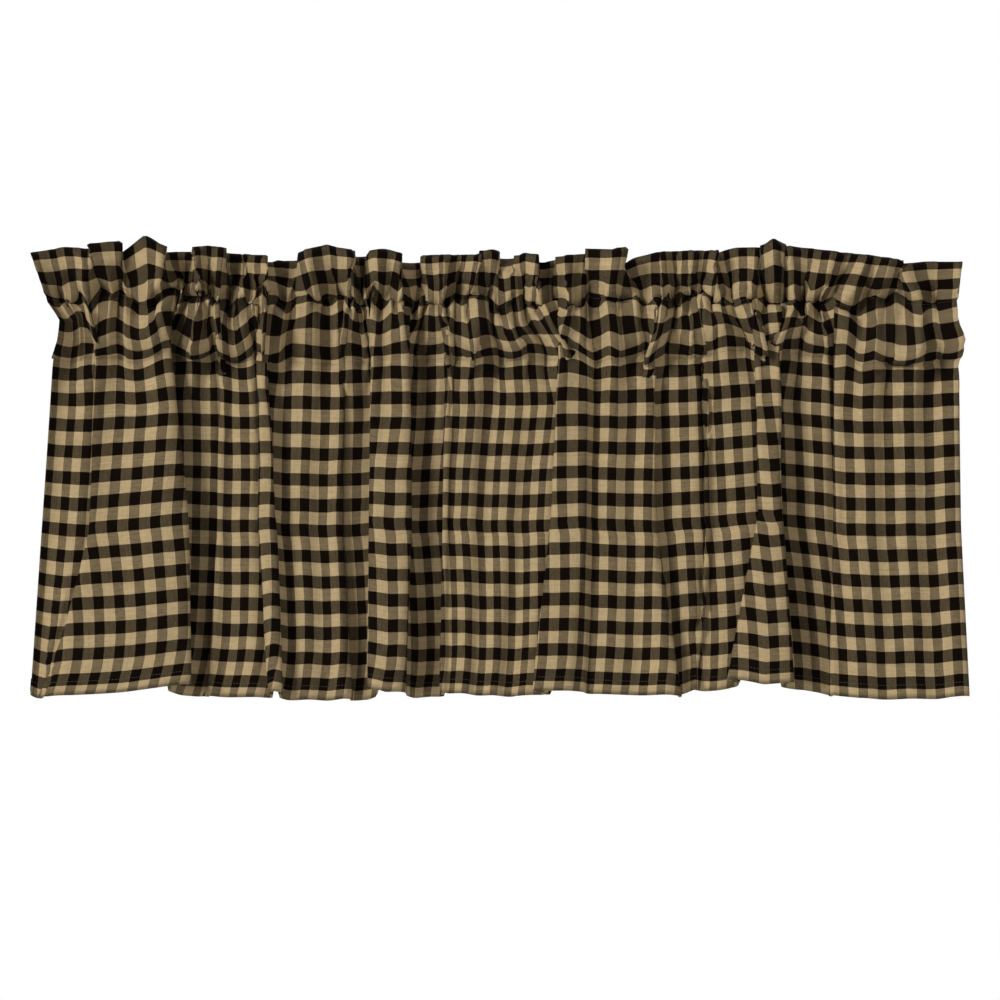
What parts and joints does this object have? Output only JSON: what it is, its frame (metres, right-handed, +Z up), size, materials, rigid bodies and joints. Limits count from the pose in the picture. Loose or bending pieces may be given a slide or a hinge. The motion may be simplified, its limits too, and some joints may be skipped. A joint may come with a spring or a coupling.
{
  "type": "rod pocket window valance",
  "caption": "Short gathered window valance in woven check cotton, with a ruffled heading above an open rod pocket and a hemmed skirt in broad uneven folds.",
  "frame": {"origin": "middle of the gathered width, at the nominal height of the top edge of the heading, in the plane of the rod's axis", "axes": "+X along the curtain rod, to the right as seen from the room; +Z up; the front faces -Y, into the room"},
  "size_m": [0.8283, 0.0604, 0.4066],
  "materials": {
    "check_cotton": "matt yarn-dyed cotton, black and tan check"
  },
  "bodies": {
    "root": {"valance": "check_cotton"}
  },
  "joints": []
}
